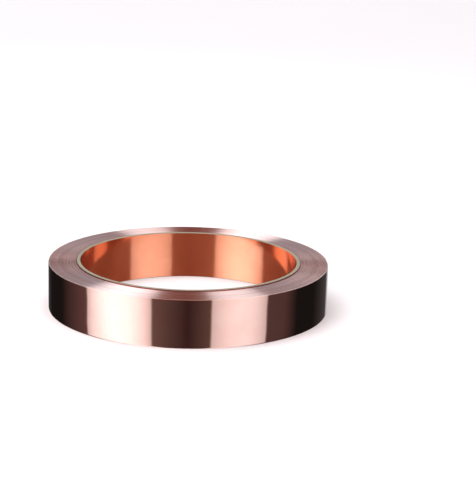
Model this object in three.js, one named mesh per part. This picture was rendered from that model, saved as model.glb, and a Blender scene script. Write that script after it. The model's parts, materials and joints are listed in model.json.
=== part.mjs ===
// A roll of adhesive copper foil tape on a paperboard core, lying flat on one end.
// Millimetres, +Z up. The origin is on the roll's axis, at the lower end of the core.
//
// The tape is three strips wound together: copper foil outside, its adhesive coat, and a
// paper release liner inside. All but the last turn is one solid, wound_pack. The last turn
// is built strip by strip, and its free end is a row of short segments that lift off the
// roll one after another. The liner of the last segment peels away from the adhesive.
import * as THREE from "three";

// Core
const BORE_DIAMETER = 76.2;
const LINING_THICKNESS = 0.04;
const CORE_WALL = 1.15;
const CORE_LENGTH = 17;
const CORE_CHAMFER = 0.15;

// Tape. The lift is the height of its lower edge above the lower end of the core.
const ROLL_DIAMETER = 98.6;
const TAPE_WIDTH = 16.5;
const TAPE_LIFT = 0.05;

// The tape's three strips, from the outside in
const FOIL_THICKNESS = 0.035;
const ADHESIVE_THICKNESS = 0.03;
const LINER_THICKNESS = 0.055;

// Strip that sticks the first turn to the core
const TACK_THICKNESS = 0.06;
const TACK_WIDTH = 15;
const TACK_START = 180;
const TACK_ARC = 24;

// Free end: where it stops, counted from +X towards +Y, and how it divides into segments
const TIP_ANGLE = 6;
const SEGMENT_ARC = 15;
const SEGMENT_COUNT = 5;

// Air left between pieces that touch
const LAYER_GAP = 0.01;
const END_GAP = 0.3;

// Every ring and strip is faceted at the same angles, so that thin layers nest without touching
const FACET_ANGLE = 3;
const FULL_TURN = 360;

// Worked out from the sizes above
const ROLL_RADIUS = ROLL_DIAMETER / 2;
const CORE_INNER_RADIUS = BORE_DIAMETER / 2 + LINING_THICKNESS + LAYER_GAP;
const CORE_OUTER_RADIUS = CORE_INNER_RADIUS + CORE_WALL;
const PACK_INNER_RADIUS = CORE_OUTER_RADIUS + LAYER_GAP;
const TURN_PITCH = FOIL_THICKNESS + ADHESIVE_THICKNESS + LINER_THICKNESS + 3 * LAYER_GAP;
const FREE_ARC = SEGMENT_ARC * SEGMENT_COUNT;
const END_GAP_ANGLE = THREE.MathUtils.radToDeg(END_GAP / ROLL_RADIUS);

// Depth of each strip's outer and inner face below the outside of its own turn
const STRIPS = {
  foil: { top: 0, thickness: FOIL_THICKNESS },
  adhesive: { top: FOIL_THICKNESS + LAYER_GAP, thickness: ADHESIVE_THICKNESS },
  liner: { top: FOIL_THICKNESS + ADHESIVE_THICKNESS + 2 * LAYER_GAP, thickness: LINER_THICKNESS },
};

const MATERIALS = {
  foil: { color: "#c8805e", roughness: 0.12, metalness: 1 },
  lining: { color: "#b5623f", roughness: 0.14, metalness: 1 },
  woundEdge: { color: "#b98874", roughness: 0.35, metalness: 1 },
  adhesive: { color: "#c7a58c", roughness: 0.25, metalness: 0 },
  liner: { color: "#e9e2cf", roughness: 0.6, metalness: 0 },
  paperboard: { color: "#c9bfa2", roughness: 0.85, metalness: 0 },
  tack: { color: "#d8cfae", roughness: 0.4, metalness: 0 },
};

const roll = new THREE.Group();

function addMesh(name, geometry, material, height = 0) {
  const mesh = new THREE.Mesh(geometry, new THREE.MeshStandardMaterial(MATERIALS[material]));
  mesh.name = name;
  mesh.position.z = height;
  roll.add(mesh);
}

function pointAt(radius, angle) {
  const a = THREE.MathUtils.degToRad(angle);
  return new THREE.Vector2(radius * Math.cos(a), radius * Math.sin(a));
}

// Angles of the vertices along an arc: its two ends and every facet angle between them
function facetAngles(start, end) {
  const angles = [start];
  const firstInside = Math.floor(start / FACET_ANGLE) + 1;
  for (let i = firstInside; i * FACET_ANGLE < end; i += 1) {
    angles.push(i * FACET_ANGLE);
  }
  angles.push(end);
  return angles;
}

function uprightSolid(outline, height) {
  return new THREE.ExtrudeGeometry(outline, { depth: height, steps: 1, bevelEnabled: false });
}

// A strip standing on edge along an arc. The radii are functions of the angle.
function arcStrip(outerRadius, innerRadius, start, end, width) {
  const angles = facetAngles(start, end);
  const outer = angles.map((angle) => pointAt(outerRadius(angle), angle));
  const inner = angles.map((angle) => pointAt(innerRadius(angle), angle));
  return uprightSolid(new THREE.Shape([...outer, ...inner.reverse()]), width);
}

// Radius of the outside of the last turn, which falls by one pitch from the tip round to
// the place where the turn runs in under the tip
function turnRadius(angle) {
  return ROLL_RADIUS - (TURN_PITCH * (angle - TIP_ANGLE)) / FULL_TURN;
}

// One strip of the last turn, between two angles counted from +X
function turnStrip(stripName, start, end) {
  const { top, thickness } = STRIPS[stripName];
  return arcStrip(
    (angle) => turnRadius(angle) - top,
    (angle) => turnRadius(angle) - top - thickness,
    start + END_GAP_ANGLE / 2,
    end - END_GAP_ANGLE / 2,
    TAPE_WIDTH,
  );
}

// Paperboard tube, its four edges broken. The tape sits almost level with its lower end, and
// the tube stands proud of the tape at the upper end.
function coreTube() {
  const c = CORE_CHAMFER;
  const profile = [
    [CORE_INNER_RADIUS + c, 0],
    [CORE_OUTER_RADIUS - c, 0],
    [CORE_OUTER_RADIUS, c],
    [CORE_OUTER_RADIUS, CORE_LENGTH - c],
    [CORE_OUTER_RADIUS - c, CORE_LENGTH],
    [CORE_INNER_RADIUS + c, CORE_LENGTH],
    [CORE_INNER_RADIUS, CORE_LENGTH - c],
    [CORE_INNER_RADIUS, c],
    [CORE_INNER_RADIUS + c, 0],
  ].map(([radius, height]) => new THREE.Vector2(radius, height));
  const geometry = new THREE.LatheGeometry(profile, FULL_TURN / FACET_ANGLE);
  geometry.rotateX(Math.PI / 2);
  return geometry;
}

// Thin foil round the inside of the core, closed by a butt seam on the -Y side
function boreLining() {
  const seamAngle = 270;
  const seamGapAngle = THREE.MathUtils.radToDeg(END_GAP / (BORE_DIAMETER / 2));
  return arcStrip(
    () => BORE_DIAMETER / 2 + LINING_THICKNESS,
    () => BORE_DIAMETER / 2,
    seamAngle - FULL_TURN + seamGapAngle / 2,
    seamAngle - seamGapAngle / 2,
    CORE_LENGTH - 2 * CORE_CHAMFER,
  );
}

// Every turn but the last. Its outside is a one-turn spiral with a step under the tip, and
// its inside has a shallow pocket for the strip that sticks it to the core.
function woundPack() {
  const outer = facetAngles(TIP_ANGLE, TIP_ANGLE + FULL_TURN);
  const outline = new THREE.Shape(
    outer.map((angle) => pointAt(turnRadius(angle) - TURN_PITCH, angle)),
  );
  const pocketRadius = PACK_INNER_RADIUS + TACK_THICKNESS + LAYER_GAP;
  const pocket = facetAngles(TACK_START, TACK_START + TACK_ARC);
  const rest = facetAngles(TACK_START + TACK_ARC, TACK_START + FULL_TURN);
  outline.holes.push(
    new THREE.Path([
      ...pocket.map((angle) => pointAt(pocketRadius, angle)),
      ...rest.map((angle) => pointAt(PACK_INNER_RADIUS, angle)),
    ]),
  );
  return uprightSolid(outline, TAPE_WIDTH);
}

function tackStrip() {
  return arcStrip(
    () => PACK_INNER_RADIUS + TACK_THICKNESS,
    () => PACK_INNER_RADIUS,
    TACK_START + END_GAP_ANGLE,
    TACK_START + TACK_ARC - END_GAP_ANGLE,
    TACK_WIDTH,
  );
}

addMesh("core_tube", coreTube(), "paperboard");
addMesh("bore_lining", boreLining(), "lining", CORE_CHAMFER);
addMesh("core_tack_strip", tackStrip(), "tack", (CORE_LENGTH - TACK_WIDTH) / 2);
addMesh("wound_pack", woundPack(), "woundEdge", TAPE_LIFT);

// The part of the last turn that stays on the roll
const heldStart = TIP_ANGLE + FREE_ARC;
const heldEnd = TIP_ANGLE + FULL_TURN;
for (const stripName of Object.keys(STRIPS)) {
  addMesh(`last_turn_${stripName}`, turnStrip(stripName, heldStart, heldEnd), stripName, TAPE_LIFT);
}

// The free end. Segment 1 is next to the held part, and the last segment ends at the tip,
// where the liner is a flap of its own.
for (let segment = 1; segment <= SEGMENT_COUNT; segment += 1) {
  const end = heldStart - SEGMENT_ARC * (segment - 1);
  const start = end - SEGMENT_ARC;
  for (const stripName of Object.keys(STRIPS)) {
    const isFlap = stripName === "liner" && segment === SEGMENT_COUNT;
    const name = isFlap ? "liner_pull_flap" : `free_end_${segment}_${stripName}`;
    addMesh(name, turnStrip(stripName, start, end), stripName, TAPE_LIFT);
  }
}

export default roll;
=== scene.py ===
import json
import math

import bpy
import numpy as np
from mathutils import Euler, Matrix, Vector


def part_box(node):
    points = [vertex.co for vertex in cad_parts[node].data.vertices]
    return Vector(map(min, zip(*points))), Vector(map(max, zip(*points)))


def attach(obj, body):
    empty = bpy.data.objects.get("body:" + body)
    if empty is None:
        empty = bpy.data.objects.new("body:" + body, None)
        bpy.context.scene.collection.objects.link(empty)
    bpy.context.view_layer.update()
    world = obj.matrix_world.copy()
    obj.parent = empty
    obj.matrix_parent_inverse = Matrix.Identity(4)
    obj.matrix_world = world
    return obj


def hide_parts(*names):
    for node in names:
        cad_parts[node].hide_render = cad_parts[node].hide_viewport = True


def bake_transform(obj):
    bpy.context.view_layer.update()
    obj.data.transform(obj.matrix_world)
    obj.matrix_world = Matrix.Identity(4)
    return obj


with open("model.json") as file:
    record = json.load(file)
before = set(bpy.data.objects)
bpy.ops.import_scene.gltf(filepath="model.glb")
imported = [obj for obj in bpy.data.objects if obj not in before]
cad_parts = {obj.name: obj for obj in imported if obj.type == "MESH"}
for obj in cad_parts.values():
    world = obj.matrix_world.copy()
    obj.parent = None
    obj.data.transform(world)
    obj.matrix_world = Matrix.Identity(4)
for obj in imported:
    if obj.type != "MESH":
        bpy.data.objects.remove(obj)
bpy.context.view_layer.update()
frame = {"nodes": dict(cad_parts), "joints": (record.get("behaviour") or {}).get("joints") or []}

MM = 0.001

# Real thickness of one turn of tape and of its three strips, from the outside in
FOIL = 0.035 * MM
ADHESIVE = 0.030 * MM
LINER = 0.055 * MM
TURN = FOIL + ADHESIVE + LINER

# How finely curved pieces are divided, in degrees round the roll
STRIP_STEP = 0.75
EDGE_STEP = 2.0
END_STEP = 0.02

# The long edges of the tape curl inward a little, as slitting leaves them
CURL_HEIGHT = 0.28 * MM
CURL_DEPTH = 0.07 * MM
CURL_ROWS = 5
MIDDLE_ROWS = 4

# Shallow waves in the outside of the tape. Each is given by how many there are round the roll,
# its relative height, its phase at the tape's lower edge, and how much the phase shifts on the
# way to the upper edge, in radians.
WAVE_HEIGHT = 0.006 * MM
WAVES = [
    (5, 1.00, 0.7, 0.0),
    (11, 0.70, 2.1, 0.8),
    (29, 0.30, 1.3, -1.1),
    (47, 0.16, 0.4, 1.7),
]

# The cut ends of the core are rounded over, and fray up and down a little. Each wave of the
# fraying is given by how many there are round the core, and its phase.
CORE_ROUNDING = 0.2 * MM
ROUNDING_STEP = 30
CORE_STATIONS = 240
FRAY = 0.012 * MM
FRAY_ROOM = 0.03 * MM
FRAY_WAVES = [(9, 0.0), (23, 1.0)]

# The lining of the core is butted at a seam on the side nearest the camera, out of its sight
SEAM_ANGLE = 270.0
SEAM_HALF_GAP = 0.1

# Air on each side of the first turn of foil
CLEARANCE = 0.01 * MM


# ---------------------------------------------------------------- places, from the frame

def radii(node):
    """Smallest and largest distance of a CAD node's corners from the roll's axis."""
    corners = np.array([v.co for v in frame["nodes"][node].data.vertices], float)
    distance = np.hypot(corners[:, 0], corners[:, 1])
    return distance.min(), distance.max()


def heights(node):
    low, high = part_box(node)
    return low.z, high.z


def angle_of(x, y):
    return math.degrees(math.atan2(y, x))


HINGES = [j for j in frame["joints"] if j["child"].startswith("free_end")]
HINGE_ANGLES = [angle_of(*j["pos_m"][:2]) for j in HINGES]
SEGMENT_ARC = HINGE_ANGLES[0] - HINGE_ANGLES[1]
TIP_ANGLE = HINGE_ANGLES[-1] - SEGMENT_ARC
FULL_TURN = 360.0

ROLL_RADIUS = radii("free_end_5_foil")[1]
CORE_RADII = radii("core_tube")
LINING_RADII = radii("bore_lining")
CORE_HEIGHTS = heights("core_tube")
LINING_HEIGHTS = heights("bore_lining")
TAPE_HEIGHTS = heights("last_turn_foil")

# The first turn lies on the strip that sticks it to the core, and ends a little below the core
FIRST_TURN_RADIUS = radii("core_tack_strip")[1] + CLEARANCE
FIRST_TURN_DROP = 0.1 * MM

# The slit edges: how many turns in they start, and where they end
EDGES_START = 2.1
EDGES_INNER_RADIUS = FIRST_TURN_RADIUS + FOIL + CLEARANCE
# Each turn stands up as a ridge, by nearly the same height as its neighbours. The height changes
# a few times within a turn, and more broadly from one group of turns to the next.
RIDGE_DEPTH = 0.150 * MM
RIDGE_UNEVENNESS = 0.008 * MM
TURN_UNEVENNESS = 0.002 * MM
GROUP_UNEVENNESS = 0.003 * MM
CHANGES_PER_TURN = 8
TURNS_PER_GROUP = 3.7
# They dip in a narrow groove round the first turn
GROOVE_RADIUS = EDGES_INNER_RADIUS + 0.20 * MM
GROOVE_SLOPE = 0.10 * MM
GROOVE_DEPTH = 0.15 * MM

# The strip across the first hinge starts this far before it, and the others half a segment before
# theirs.
# They end in the middle of the next segment. The liner's strip across the last hinge covers a
# shorter arc.
FIRST_BEND_LEAD = 1.2
HALF_SEGMENT = SEGMENT_ARC / 2


# ---------------------------------------------------------------- mesh helpers

def make_piece(name, vertices, faces, material, uvs=None, sharp_angle=35):
    mesh = bpy.data.meshes.new(name)
    mesh.from_pydata([tuple(v) for v in vertices], [], faces)
    mesh.polygons.foreach_set("use_smooth", [True] * len(mesh.polygons))
    mesh.set_sharp_from_angle(angle=math.radians(sharp_angle))
    if uvs is not None:
        layer = mesh.uv_layers.new(name="strip")
        corner = np.zeros(len(mesh.loops), np.int32)
        mesh.loops.foreach_get("vertex_index", corner)
        layer.data.foreach_set("uv", np.asarray(uvs, np.float32)[corner].ravel())
    mesh.materials.append(material)
    mesh.validate()
    piece = bpy.data.objects.new(name, mesh)
    bpy.context.scene.collection.objects.link(piece)
    return piece


def swept_faces(stations, ring, closed):
    """Quads joining rings of points one after another, with flat ends unless it is closed."""
    faces = []
    for i in range(stations if closed else stations - 1):
        a, b = i * ring, ((i + 1) % stations) * ring
        for j in range(ring):
            k = (j + 1) % ring
            faces.append((a + j, b + j, b + k, a + k))
    if not closed:
        faces.append(tuple(range(ring)))
        faces.append(tuple(range((stations - 1) * ring, stations * ring))[::-1])
    return faces


def stations_between(start, end, step):
    """Angles from start to end, with one very short step at each end, so that two strips
    that meet are shaded alike."""
    count = max(2, round((end - start - 2 * END_STEP) / step))
    inside = np.linspace(start + END_STEP, end - END_STEP, count + 1)
    return np.concatenate([[start], inside, [end]])


def smooth_noise(positions, seed):
    """Smooth random values from -1 to 1, one new value at each whole number."""
    values = np.random.default_rng(seed).uniform(-1, 1, int(positions.max()) + 3)
    whole = np.floor(positions).astype(int)
    part = positions - whole
    eased = part * part * (3 - 2 * part)
    return values[whole] * (1 - eased) + values[whole + 1] * eased


def waviness(angle, height):
    """How far the outside of the tape stands off a true spiral."""
    a = np.radians(angle)
    tall = (height - TAPE_HEIGHTS[0]) / (TAPE_HEIGHTS[1] - TAPE_HEIGHTS[0])
    waves = [size * np.sin(count * a + phase + shift * tall) for count, size, phase, shift in WAVES]
    return WAVE_HEIGHT * sum(waves)


def turn_radius(angle):
    """Radius of the outside of the tape, counted inward from the tip of the free end."""
    return ROLL_RADIUS - TURN * (angle - TIP_ANGLE) / FULL_TURN


def rows_up(low, high):
    """Heights from low to high, closer together near both edges."""
    edge = np.linspace(0, CURL_HEIGHT, CURL_ROWS)
    middle = np.linspace(low + CURL_HEIGHT, high - CURL_HEIGHT, MIDDLE_ROWS + 1)[1:-1]
    return np.concatenate([low + edge, middle, high - edge[::-1]])


def curl(z):
    """How far the edges of the tape curl inward at this height."""
    near_edge = np.minimum(z - TAPE_HEIGHTS[0], TAPE_HEIGHTS[1] - z)
    return CURL_DEPTH * np.clip(1 - near_edge / CURL_HEIGHT, 0, 1) ** 2


def strip(name, depth, thickness, start, end, material):
    """A strip of tape on edge. depth is how far its outer face lies inside its own turn."""
    angles = stations_between(start, end, STRIP_STEP)
    up = rows_up(*TAPE_HEIGHTS)
    z = np.concatenate([up, up[::-1]])
    inward = np.repeat([depth, depth + thickness], len(up)) + curl(z)
    vertices, uvs = [], []
    for angle in angles:
        r = turn_radius(angle) - inward + waviness(angle, z)
        a = math.radians(angle)
        vertices.append(np.stack([r * math.cos(a), r * math.sin(a), z], -1))
        uvs.append(np.stack([np.full_like(z, a * ROLL_RADIUS), z], -1))
    faces = swept_faces(len(angles), len(z), closed=False)
    return make_piece(name, np.concatenate(vertices), faces, material, np.concatenate(uvs))


# ---------------------------------------------------------------- material helpers

def add_node(tree, kind, inputs=None, **settings):
    """A new shader node. Each of its inputs is given a value, or the output that feeds it."""
    made = tree.nodes.new("ShaderNode" + kind)
    for key, value in settings.items():
        setattr(made, key, value)
    for key, value in (inputs or {}).items():
        if isinstance(value, bpy.types.NodeSocket):
            tree.links.new(value, made.inputs[key])
        else:
            made.inputs[key].default_value = value
    return made


def add_ramp(tree, factor, stops):
    """The colour at factor, from stops that each give a position from 0 to 1 and a colour."""
    made = add_node(tree, "ValToRGB", {"Fac": factor})
    elements = made.color_ramp.elements
    while len(elements) < len(stops):
        elements.new(0.5)
    for element, (position, colour) in zip(elements, stops):
        element.position = position
        element.color = (*colour, 1.0)
    return made.outputs["Color"]


class Shader:
    """A Principled material, with short names for the nodes used here. Its values are given by
    the names of the shader's sockets, with underscores for spaces."""

    def __init__(self, name, **values):
        self.material = bpy.data.materials.new(name)
        self.material.use_nodes = True
        self.tree = self.material.node_tree
        self.surface = self.tree.nodes["Principled BSDF"]
        for key, value in values.items():
            self.surface.inputs[key.replace("_", " ")].default_value = value

    def node(self, kind, inputs=None, **settings):
        return add_node(self.tree, kind, inputs, **settings)

    def link(self, output, name):
        self.tree.links.new(output, self.surface.inputs[name])

    def along_strip(self, scale):
        """Coordinates fixed to a strip of tape: length, then height."""
        uv = self.node("UVMap", uv_map="strip")
        return self.scaled(uv.outputs["UV"], scale)

    def in_object(self, scale):
        place = self.node("TexCoord")
        return self.scaled(place.outputs["Object"], scale)

    def from_axis(self, scale=1):
        """Distance from the roll's axis."""
        place = self.in_object((scale, scale, 0))
        return self.node("VectorMath", {0: place}, operation="LENGTH").outputs["Value"]

    def rings(self, scale, detail):
        """Noise that changes only with the distance from the roll's axis."""
        values = {"W": self.from_axis(), "Scale": scale, "Detail": detail}
        return self.node("TexNoise", values, noise_dimensions="1D").outputs["Fac"]

    def scaled(self, vector, scale):
        return self.node("VectorMath", {0: vector, 1: scale}, operation="MULTIPLY").outputs[0]

    def noise(self, vector, scale, detail=3.0, roughness=0.5):
        values = {"Vector": vector, "Scale": scale, "Detail": detail, "Roughness": roughness}
        return self.node("TexNoise", values).outputs["Fac"]

    def ramp(self, factor, *stops):
        return add_ramp(self.tree, factor, stops)

    def between(self, factor, low, high):
        values = {"Value": factor, "To Min": low, "To Max": high}
        return self.node("MapRange", values).outputs["Result"]

    def mean(self, first, second):
        """The value halfway between two others."""
        return self.node("Mix", {"Factor": 0.5, "A": first, "B": second}).outputs["Result"]

    def bump(self, height, distance):
        values = {"Height": height, "Distance": distance, "Strength": 1.0}
        return self.node("Bump", values).outputs["Normal"]


def copper_foil():
    """Bright rolled foil: nearly a mirror, with faint rolling lines along its length."""
    s = Shader("copper_foil", Metallic=1.0)
    cloud = s.noise(s.along_strip((60, 60, 1)), 2.0)
    s.link(s.ramp(cloud, (0.35, (0.89, 0.57, 0.49)), (0.65, (0.92, 0.62, 0.54))), "Base Color")
    lines = s.noise(s.along_strip((60, 9000, 1)), 1.0, detail=2.0)
    s.link(s.between(lines, 0.035, 0.075), "Roughness")
    s.link(s.bump(lines, 0.0006 * MM), "Normal")
    return s.material


def bore_foil():
    """The foil that lines the core: a softer mirror, following the paperboard under it."""
    s = Shader("bore_foil", Metallic=0.95)
    cloud = s.noise(s.in_object((1, 1, 1)), 90.0)
    s.link(s.ramp(cloud, (0.35, (0.74, 0.31, 0.18)), (0.65, (0.80, 0.36, 0.22))), "Base Color")
    s.link(s.between(s.noise(s.in_object((1, 1, 0.3)), 700.0), 0.07, 0.15), "Roughness")
    s.link(s.bump(cloud, 0.05 * MM), "Normal")
    return s.material


def inner_foil_painted_shade():
    """The first turn of foil: rougher than the outside of the roll, and with painted shade,
    coloured darker and redder to stand for the shade in the groove beside the core.
    """
    s = Shader("inner_foil_painted_shade", Metallic=1.0)
    cloud = s.noise(s.in_object((1, 1, 1)), 300.0)
    # Painted shade: these dark red tones stand for the shade in the groove beside the core, not for
    # the foil's own colour
    s.link(s.ramp(cloud, (0.35, (0.56, 0.26, 0.24)), (0.65, (0.66, 0.33, 0.30))), "Base Color")
    s.link(s.between(cloud, 0.12, 0.22), "Roughness")
    return s.material


def wound_edges():
    """The slit edges of many turns: satin metal with fine rings, some duller than others."""
    s = Shader("wound_edges", Metallic=1.0, Anisotropic=0.6, Anisotropic_Rotation=0.25)
    fine = s.rings(3200.0, detail=4.0)
    tone = s.mean(fine, s.rings(500.0, detail=2.0))
    s.link(s.ramp(tone, (0.35, (0.72, 0.55, 0.51)), (0.65, (0.86, 0.71, 0.67))), "Base Color")
    s.link(s.between(fine, 0.22, 0.30), "Roughness")
    tangent = s.node("Tangent", direction_type="RADIAL", axis="Z")
    s.link(tangent.outputs["Tangent"], "Tangent")
    return s.material


def adhesive_coat():
    """Clear tacky acrylic with the copper showing through it, and a faint orange peel."""
    s = Shader("adhesive_coat", Metallic=0.7, Coat_Weight=0.5, Coat_Roughness=0.12)
    grain = s.noise(s.along_strip((1, 1, 1)), 2500.0)
    s.link(s.ramp(grain, (0.3, (0.50, 0.28, 0.20)), (0.7, (0.62, 0.37, 0.27))), "Base Color")
    s.link(s.between(grain, 0.30, 0.45), "Roughness")
    s.link(s.bump(grain, 0.006 * MM), "Normal")
    return s.material


def release_liner():
    """Smooth siliconised paper, pale cream with faint fibres."""
    s = Shader("release_liner", Coat_Weight=0.25, Coat_Roughness=0.35)
    fibres = s.noise(s.along_strip((1, 3, 1)), 1500.0, detail=6.0, roughness=0.65)
    s.link(s.ramp(fibres, (0.3, (0.74, 0.69, 0.56)), (0.7, (0.85, 0.81, 0.69))), "Base Color")
    s.link(s.between(fibres, 0.45, 0.6), "Roughness")
    s.link(s.bump(fibres, 0.004 * MM), "Normal")
    return s.material


def paperboard():
    """Grey-cream board, fibrous, with its plies showing as rings at the cut ends."""
    s = Shader("paperboard")
    fibres = s.noise(s.in_object((1, 1, 1)), 2200.0, detail=6.0, roughness=0.7)
    tone = s.mean(fibres, s.rings(4200.0, detail=1.0))
    s.link(s.ramp(tone, (0.35, (0.17, 0.17, 0.12)), (0.65, (0.35, 0.33, 0.24))), "Base Color")
    s.link(s.between(fibres, 0.75, 0.95), "Roughness")
    s.link(s.bump(fibres, 0.02 * MM), "Normal")
    return s.material


def tack_film():
    """Thin double-sided film, hidden between the core and the first turn."""
    s = Shader("tack_film", Roughness=0.4)
    grain = s.noise(s.in_object((1, 1, 1)), 1200.0)
    s.link(s.ramp(grain, (0.3, (0.68, 0.62, 0.45)), (0.7, (0.78, 0.73, 0.56))), "Base Color")
    return s.material


# ---------------------------------------------------------------- pieces that stay on the roll

def wound_turns(material):
    """Every turn from the third one in, as one solid whose two flat sides are the slit edges
    of the tape: a fine spiral of ridges, each turn standing a little higher or lower. A row of
    vertices runs along each ridge and each valley."""
    turns = int((ROLL_RADIUS - EDGES_START * TURN - EDGES_INNER_RADIUS) / TURN)
    steps = round(FULL_TURN / EDGE_STEP)
    rows = 2 * turns + 1
    part = np.arange(steps) / steps
    row = np.arange(rows)[:, None]
    wound = EDGES_START + row / 2 + part[None, :]
    radius = np.maximum(ROLL_RADIUS - wound * TURN, EDGES_INNER_RADIUS)
    angle = np.radians(TIP_ANGLE) + 2 * math.pi * part[None, :] + 0 * row
    in_valley = row % 2 == 0

    def side(height, inward, seed):
        each = smooth_noise((wound * CHANGES_PER_TURN).ravel(), seed).reshape(wound.shape)
        group = smooth_noise((wound / TURNS_PER_GROUP).ravel(), seed + 1).reshape(wound.shape)
        valley = np.where(in_valley, RIDGE_DEPTH + RIDGE_UNEVENNESS * group, 0)
        groove = GROOVE_DEPTH * np.clip((GROOVE_RADIUS - radius) / GROOVE_SLOPE, 0, 1)
        uneven = TURN_UNEVENNESS * (each + 1) + GROUP_UNEVENNESS * (group + 1)
        z = height + inward * (valley + groove + uneven)
        return np.stack([radius * np.cos(angle), radius * np.sin(angle), z], -1).reshape(-1, 3)

    low, high = TAPE_HEIGHTS
    vertices = np.concatenate([side(high, -1, seed=3), side(low, 1, seed=8)])
    below = rows * steps
    last = steps - 1
    faces = []
    for i in range(rows - 1):
        for j in range(steps):
            a, b = i * steps + j, (i + 1) * steps + j
            # past the end of a turn, the spiral goes on two rows further in
            d, c = (a + 1, b + 1) if j < last else ((i + 2) * steps, (i + 3) * steps)
            if c < below:
                faces.append((a, d, c, b))
                faces.append((below + a, below + b, below + c, below + d))
    # the outermost row, and back out over the step where it starts
    outer = [*range(steps), 2 * steps, steps, 0]
    for p, q in zip(outer, outer[1:]):
        faces.append((p, below + p, below + q, q))
    # the innermost row, and back over the step where it ends
    innermost = (rows - 1) * steps
    end = innermost + last
    inner = [*range(innermost, end + 1), end - steps, end - 2 * steps, innermost]
    for p, q in zip(inner, inner[1:]):
        faces.append((p, q, below + q, below + p))
    return make_piece("wound_turns", vertices, faces, material, sharp_angle=10)


def core_board(material):
    """The paperboard tube, its cut ends slightly rounded and uneven."""
    inner, outer = CORE_RADII
    low, high = CORE_HEIGHTS
    corners = [(inner, low, 180), (outer, low, 270), (outer, high, 0), (inner, high, 90)]
    profile = []
    for r, z, first in corners:
        centre_r = r + (CORE_ROUNDING if r == inner else -CORE_ROUNDING)
        centre_z = z + (CORE_ROUNDING if z == low else -CORE_ROUNDING)
        for turn in range(0, 90 + ROUNDING_STEP, ROUNDING_STEP):
            a = math.radians(first + turn)
            x, y = CORE_ROUNDING * math.cos(a), CORE_ROUNDING * math.sin(a)
            profile.append((centre_r + x, centre_z + y))
    r, z = np.array(profile).T
    vertices = []
    for i in range(CORE_STATIONS):
        a = 2 * math.pi * i / CORE_STATIONS
        frayed = FRAY * sum(math.sin(count * a + phase) for count, phase in FRAY_WAVES)
        cut = np.clip(z, low + FRAY_ROOM + frayed, high - FRAY_ROOM + frayed)
        vertices.append(np.stack([r * math.cos(a), r * math.sin(a), cut], -1))
    faces = swept_faces(CORE_STATIONS, len(r), closed=True)
    return make_piece("core_board", np.concatenate(vertices), faces, material)


def core_lining(material):
    """Foil round the inside of the core, its two ends almost meeting at the seam."""
    inner, outer = LINING_RADII
    start = SEAM_ANGLE - FULL_TURN + SEAM_HALF_GAP
    angles = stations_between(start, SEAM_ANGLE - SEAM_HALF_GAP, STRIP_STEP)
    up = np.linspace(*LINING_HEIGHTS, MIDDLE_ROWS + 1)
    z = np.concatenate([up, up[::-1]])
    r = np.repeat([outer, inner], len(up))
    vertices = []
    for angle in angles:
        a = math.radians(angle)
        vertices.append(np.stack([r * math.cos(a), r * math.sin(a), z], -1))
    faces = swept_faces(len(angles), len(z), closed=False)
    return make_piece("core_lining", np.concatenate(vertices), faces, material)


def first_turn(material):
    """The innermost turn of foil, drawn tight round the core and standing a little proud."""
    inner = FIRST_TURN_RADIUS
    low, high = TAPE_HEIGHTS[0], CORE_HEIGHTS[1] - FIRST_TURN_DROP
    section = [(inner, low), (inner + FOIL, low), (inner + FOIL, high), (inner, high)]
    stations = round(FULL_TURN / STRIP_STEP)
    vertices = []
    for i in range(stations):
        a = math.radians(i * STRIP_STEP)
        for r, z in section:
            vertices.append((r * math.cos(a), r * math.sin(a), z))
    faces = swept_faces(stations, len(section), closed=True)
    return make_piece("first_turn_foil", vertices, faces, material)


# ---------------------------------------------------------------- the object

def place_on(piece, body, slot, *nodes):
    """The piece rides on the body and stands for the nodes, which are hidden. The slot is not used.
    """
    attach(piece, body)
    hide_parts(*nodes)


COPPER_FOIL = copper_foil()

# Each strip of the tape: how deep its outer face lies, its thickness, material and slot
STRIPS = {
    "foil": (0.0, FOIL, COPPER_FOIL, "copper_foil"),
    "adhesive": (FOIL, ADHESIVE, adhesive_coat(), "adhesive"),
    "liner": (FOIL + ADHESIVE, LINER, release_liner(), "release_liner"),
}

place_on(core_board(paperboard()), "roll", "paperboard", "core_tube")
place_on(core_lining(bore_foil()), "roll", "bore_foil", "bore_lining")
place_on(wound_turns(wound_edges()), "roll", "wound_tape", "wound_pack")

# The first turn's foil carries painted shade for the groove beside the core
innermost = first_turn(inner_foil_painted_shade())
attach(innermost, "roll")

tack = frame["nodes"]["core_tack_strip"]
tack.data.materials.clear()
tack.data.materials.append(tack_film())

# The turn under the last one, seen where the free end lifts off
second_start = TIP_ANGLE + FULL_TURN
second = strip("second_turn_foil", 0.0, FOIL, second_start, second_start + FULL_TURN, COPPER_FOIL)
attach(second, "roll")

# The last turn: the part that is held, then the free end, a strip across each hinge
for kind, (depth, thickness, material, slot) in STRIPS.items():
    held = strip(f"last_turn_{kind}_held", depth, thickness,
                 HINGE_ANGLES[0] + FIRST_BEND_LEAD, TIP_ANGLE + FULL_TURN, material)
    place_on(held, "roll", slot, f"last_turn_{kind}")
    for segment, hinge in enumerate(HINGE_ANGLES, start=1):
        flap_next = kind == "liner" and segment == len(HINGE_ANGLES)
        bend_start = hinge + (FIRST_BEND_LEAD if segment == 1 else HALF_SEGMENT)
        bend_end = hinge - HALF_SEGMENT
        piece = strip(f"free_{kind}_{segment}", depth, thickness,
                      hinge if flap_next else bend_end, bend_start, material)
        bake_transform(piece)
        if not flap_next:
            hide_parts(f"free_end_{segment}_{kind}")

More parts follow.
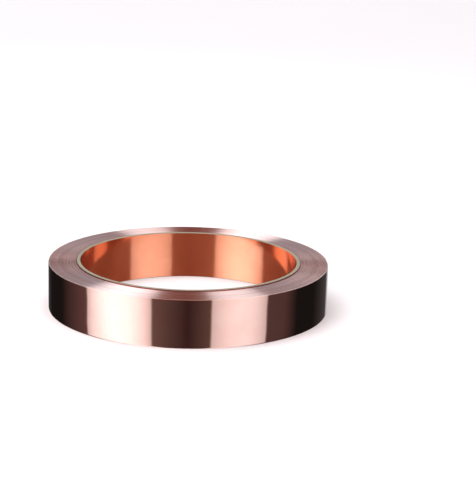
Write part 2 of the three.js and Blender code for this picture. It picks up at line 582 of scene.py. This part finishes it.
# Past the last hinge, the foil and its adhesive go on to the tip, and the liner ends in a flap of
# its own
tip_middle = HINGE_ANGLES[-1] - HALF_SEGMENT
for kind in ("foil", "adhesive"):
    depth, thickness, material, slot = STRIPS[kind]
    tip = strip(f"free_{kind}_tip", depth, thickness, TIP_ANGLE, tip_middle, material)
    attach(tip, "free_end_5")

depth, thickness, material, slot = STRIPS["liner"]
flap = strip("liner_flap_end", depth, thickness, TIP_ANGLE, HINGE_ANGLES[-1], material)
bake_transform(flap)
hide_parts("liner_pull_flap")


# ---------------------------------------------------------------- studio

FLOOR_RADIUS = 6.0
FLOOR_SIDES = 96
BACKDROP_HEIGHT = 5.0
WALL_SIDES = 240


def circle(radius, z, sides):
    """Points round the axis at one height."""
    a = np.arange(sides) * 2 * math.pi / sides
    return np.stack([radius * np.cos(a), radius * np.sin(a), np.full(sides, z)], -1)


def add_floor(material):
    rim = circle(FLOOR_RADIUS, 0.0, FLOOR_SIDES)
    floor = make_piece("floor", rim, [tuple(range(FLOOR_SIDES))], material)
    floor.visible_glossy = False


def floor_material():
    """Pale paper. Far from the roll, where less of the overhead light reaches it, it gives off
    a little light of its own, so that it stays as pale right up to the backdrop."""
    s = Shader("studio_floor", Roughness=0.9, Specular_IOR_Level=0.0, Emission_Strength=1.0)
    mottle = s.noise(s.in_object((1, 1, 1)), 3.0)
    s.link(s.ramp(mottle, (0.3, (0.80, 0.80, 0.80)), (0.7, (0.82, 0.82, 0.82))), "Base Color")
    glow = s.ramp(
        s.from_axis(1 / FLOOR_RADIUS),
        (0.12, (0.0, 0.0, 0.0)),
        (0.23, (0.17, 0.18, 0.18)),
        (0.32, (0.30, 0.31, 0.31)),
        (0.50, (0.39, 0.40, 0.40)),
        (1.00, (0.43, 0.44, 0.44)),
    )
    s.link(glow, "Emission Color")
    return s.material


def backdrop_material():
    """Evenly lit paper: it gives off its own light, so that nothing shades it."""
    s = Shader("studio_backdrop", Roughness=1.0, Specular_IOR_Level=0.0, Emission_Strength=1.0)
    mottle = s.noise(s.in_object((1, 1, 1)), 1.0)
    s.link(s.ramp(mottle, (0.3, (0.0, 0.0, 0.0)), (0.7, (0.01, 0.01, 0.01))), "Base Color")
    s.link(s.ramp(mottle, (0.3, (0.92, 0.90, 0.90)), (0.7, (0.94, 0.92, 0.92))), "Emission Color")
    return s.material


def round_wall(name, radius, low, high, material):
    """An upright wall all the way round, facing inward."""
    rims = np.concatenate([circle(radius, high, WALL_SIDES), circle(radius, low, WALL_SIDES)])
    faces = []
    for i in range(WALL_SIDES):
        k = (i + 1) % WALL_SIDES
        faces.append((i, k, WALL_SIDES + k, WALL_SIDES + i))
    piece = make_piece(name, rims, faces, material)
    piece.visible_diffuse = False
    piece.visible_shadow = False
    return piece


def add_backdrop(material):
    backdrop = round_wall("backdrop", FLOOR_RADIUS, 0.0, BACKDROP_HEIGHT, material)
    backdrop.visible_glossy = False


# Polished metal shows the studio round it: soft boxes in a dim room. Each soft box is given by
# where its middle is, in degrees round from the camera's side and positive to its right, by half
# its width in degrees, and by its brightness at its edges and in its middle.
SOFT_BOXES = {
    "key": (-59, 30, 0.6, 1.7),
    "fill": (43, 24, 0.6, 1.1),
    "back": (170, 12, 0.1, 0.5),
}
EDGE_SOFTNESS = 1.5
DAYLIGHT = (0.97, 1.0, 1.05)

# The dim room between them, by degrees round in the same way. BENCH is what lies below the
# horizon, with a black flag on each side, behind the roll. ROOM is what lies above it: grey at the
# sides and the back, and a deep copper red in front. HORIZON is the height over which one turns
# into the other, as the upward part of the direction.
BENCH = [
    (-180, (0.10, 0.10, 0.11)),
    (-150, (0.01, 0.01, 0.01)),
    (-125, (0.01, 0.01, 0.01)),
    (-90, (0.12, 0.07, 0.07)),
    (-30, (0.15, 0.10, 0.09)),
    (0, (0.04, 0.02, 0.02)),
    (20, (0.12, 0.08, 0.07)),
    (85, (0.08, 0.05, 0.05)),
    (100, (0.01, 0.01, 0.01)),
    (125, (0.01, 0.01, 0.01)),
    (180, (0.10, 0.10, 0.11)),
]
ROOM = [
    (-180, (0.45, 0.45, 0.50)),
    (-90, (0.40, 0.36, 0.40)),
    (-30, (0.30, 0.12, 0.10)),
    (0, (0.20, 0.05, 0.03)),
    (25, (0.30, 0.15, 0.12)),
    (90, (0.40, 0.35, 0.38)),
    (180, (0.45, 0.45, 0.50)),
]
HORIZON = (-0.02, 0.05)

# The tube of warm light that the inside of the core reflects, and how far down it goes
WELL_GLOW = (0.25, 0.08, 0.04)
WELL_DEPTH = 60 * MM

# Sockets of a Mix node set to colours, whose names are the same for every kind of value
MIX_A, MIX_B, MIX_RESULT = 6, 7, 2

# The light above, over the middle of the floor and a little to the front and left
OVERHEAD_WIDTH = 1.6
OVERHEAD_WATTS = 22.0
OVERHEAD_PLACE = (-0.2, -0.1, 1.5)

# The camera: its place from the middle of the roll's upper face, in radii of the roll, and how
# far it looks down, turns to its right and leans, in degrees
CAMERA_LENS = 122.4
CAMERA_BACK = 11.217
CAMERA_UP = 3.040
LOOK_DOWN = 14.35
TURN_RIGHT = 1.78
LEAN = 1.47


class Studio:
    """Light by direction, made from nodes in the world's tree."""

    def __init__(self, tree, coordinates):
        self.tree = tree
        x, y, self.up = self.node("SeparateXYZ", {0: coordinates}).outputs
        towards = self.math("MULTIPLY", y, -1.0)
        self.azimuth = self.math("DEGREES", self.math("ARCTAN2", x, towards))

    def node(self, kind, inputs, **settings):
        return add_node(self.tree, kind, inputs, **settings)

    def math(self, operation, *values):
        return self.node("Math", dict(enumerate(values)), operation=operation).outputs[0]

    def between(self, value, start, end, low=0.0, high=1.0):
        inputs = {"Value": value, "From Min": start, "From Max": end, "To Min": low, "To Max": high}
        return self.node("MapRange", inputs).outputs["Result"]

    def room(self, stops):
        """Dim colours that run into each other all the way round."""
        share = self.between(self.azimuth, -180, 180)
        return add_ramp(self.tree, share, [((at + 180) / 360, colour) for at, colour in stops])

    def soft_box(self, middle, half_width, edge, centre):
        """Brightness of one soft box: brightest in its middle, and with a soft edge."""
        away = self.math("ABSOLUTE", self.math("SUBTRACT", self.azimuth, middle))
        share = self.math("DIVIDE", away, half_width)
        glow = self.between(self.math("MULTIPLY", share, share), 0, 1, centre, edge)
        inside = self.between(away, half_width + EDGE_SOFTNESS / 2, half_width - EDGE_SOFTNESS / 2)
        return self.math("MULTIPLY", glow, inside)

    def lit(self, colour):
        """The light of every soft box, added to the colour of the room between them."""
        for box in SOFT_BOXES.values():
            inputs = {0: DAYLIGHT, "Scale": self.soft_box(*box)}
            light = self.node("VectorMath", inputs, operation="SCALE")
            added = self.node("VectorMath", {0: colour, 1: light.outputs[0]}, operation="ADD")
            colour = added.outputs[0]
        return colour


def studio_world():
    scene_world = bpy.data.worlds.new("studio")
    bpy.context.scene.world = scene_world
    scene_world.use_nodes = True
    tree = scene_world.node_tree
    coordinates = tree.nodes.new("ShaderNodeTexCoord").outputs["Generated"]
    studio = Studio(tree, coordinates)
    above = studio.between(studio.up, *HORIZON)
    inputs = {"Factor": above, MIX_A: studio.room(BENCH), MIX_B: studio.room(ROOM)}
    dim = studio.node("Mix", inputs, data_type="RGBA").outputs[MIX_RESULT]
    tree.links.new(studio.lit(dim), tree.nodes["Background"].inputs["Color"])


def add_well():
    """A clear tube of warm glow that carries the core's inside on down through the floor. Only
    the polished lining shows it, with the soft boxes behind it."""
    s = Shader("well_glow")
    nodes, links = s.tree.nodes, s.tree.links
    glow = s.node("Emission", {"Color": (*WELL_GLOW, 1.0)})
    both = s.node("AddShader")
    links.new(s.node("BsdfTransparent").outputs[0], both.inputs[0])
    links.new(glow.outputs[0], both.inputs[1])
    links.new(both.outputs[0], nodes["Material Output"].inputs["Surface"])
    radius, top = LINING_RADII[0], LINING_HEIGHTS[0]
    well = round_wall("reflection_well", radius, -WELL_DEPTH, top, s.material)
    well.visible_camera = False


def add_overhead_light():
    """A wide soft light above, which only the matt surfaces see."""
    data = bpy.data.lights.new("overhead", "AREA")
    data.shape = "DISK"
    data.size = OVERHEAD_WIDTH
    data.energy = OVERHEAD_WATTS
    light = bpy.data.objects.new("overhead", data)
    light.location = OVERHEAD_PLACE
    light.visible_glossy = False
    bpy.context.scene.collection.objects.link(light)


def add_camera():
    """Seen from the front and a little above, from about six roll diameters away."""
    camera = bpy.data.objects.new("camera", bpy.data.cameras.new("camera"))
    bpy.context.scene.collection.objects.link(camera)
    bpy.context.scene.camera = camera
    camera.data.lens = CAMERA_LENS
    height = TAPE_HEIGHTS[1] + CAMERA_UP * ROLL_RADIUS
    camera.location = (0, -CAMERA_BACK * ROLL_RADIUS, height)
    look = Euler((math.radians(90 - LOOK_DOWN), 0, math.radians(-TURN_RIGHT)), "XYZ").to_matrix()
    lean = Euler((0, 0, math.radians(LEAN)), "XYZ").to_matrix()
    camera.rotation_euler = (look @ lean).to_euler()


add_floor(floor_material())
add_backdrop(backdrop_material())
studio_world()
add_well()
add_overhead_light()
add_camera()
bpy.context.scene.view_settings.view_transform = "Standard"
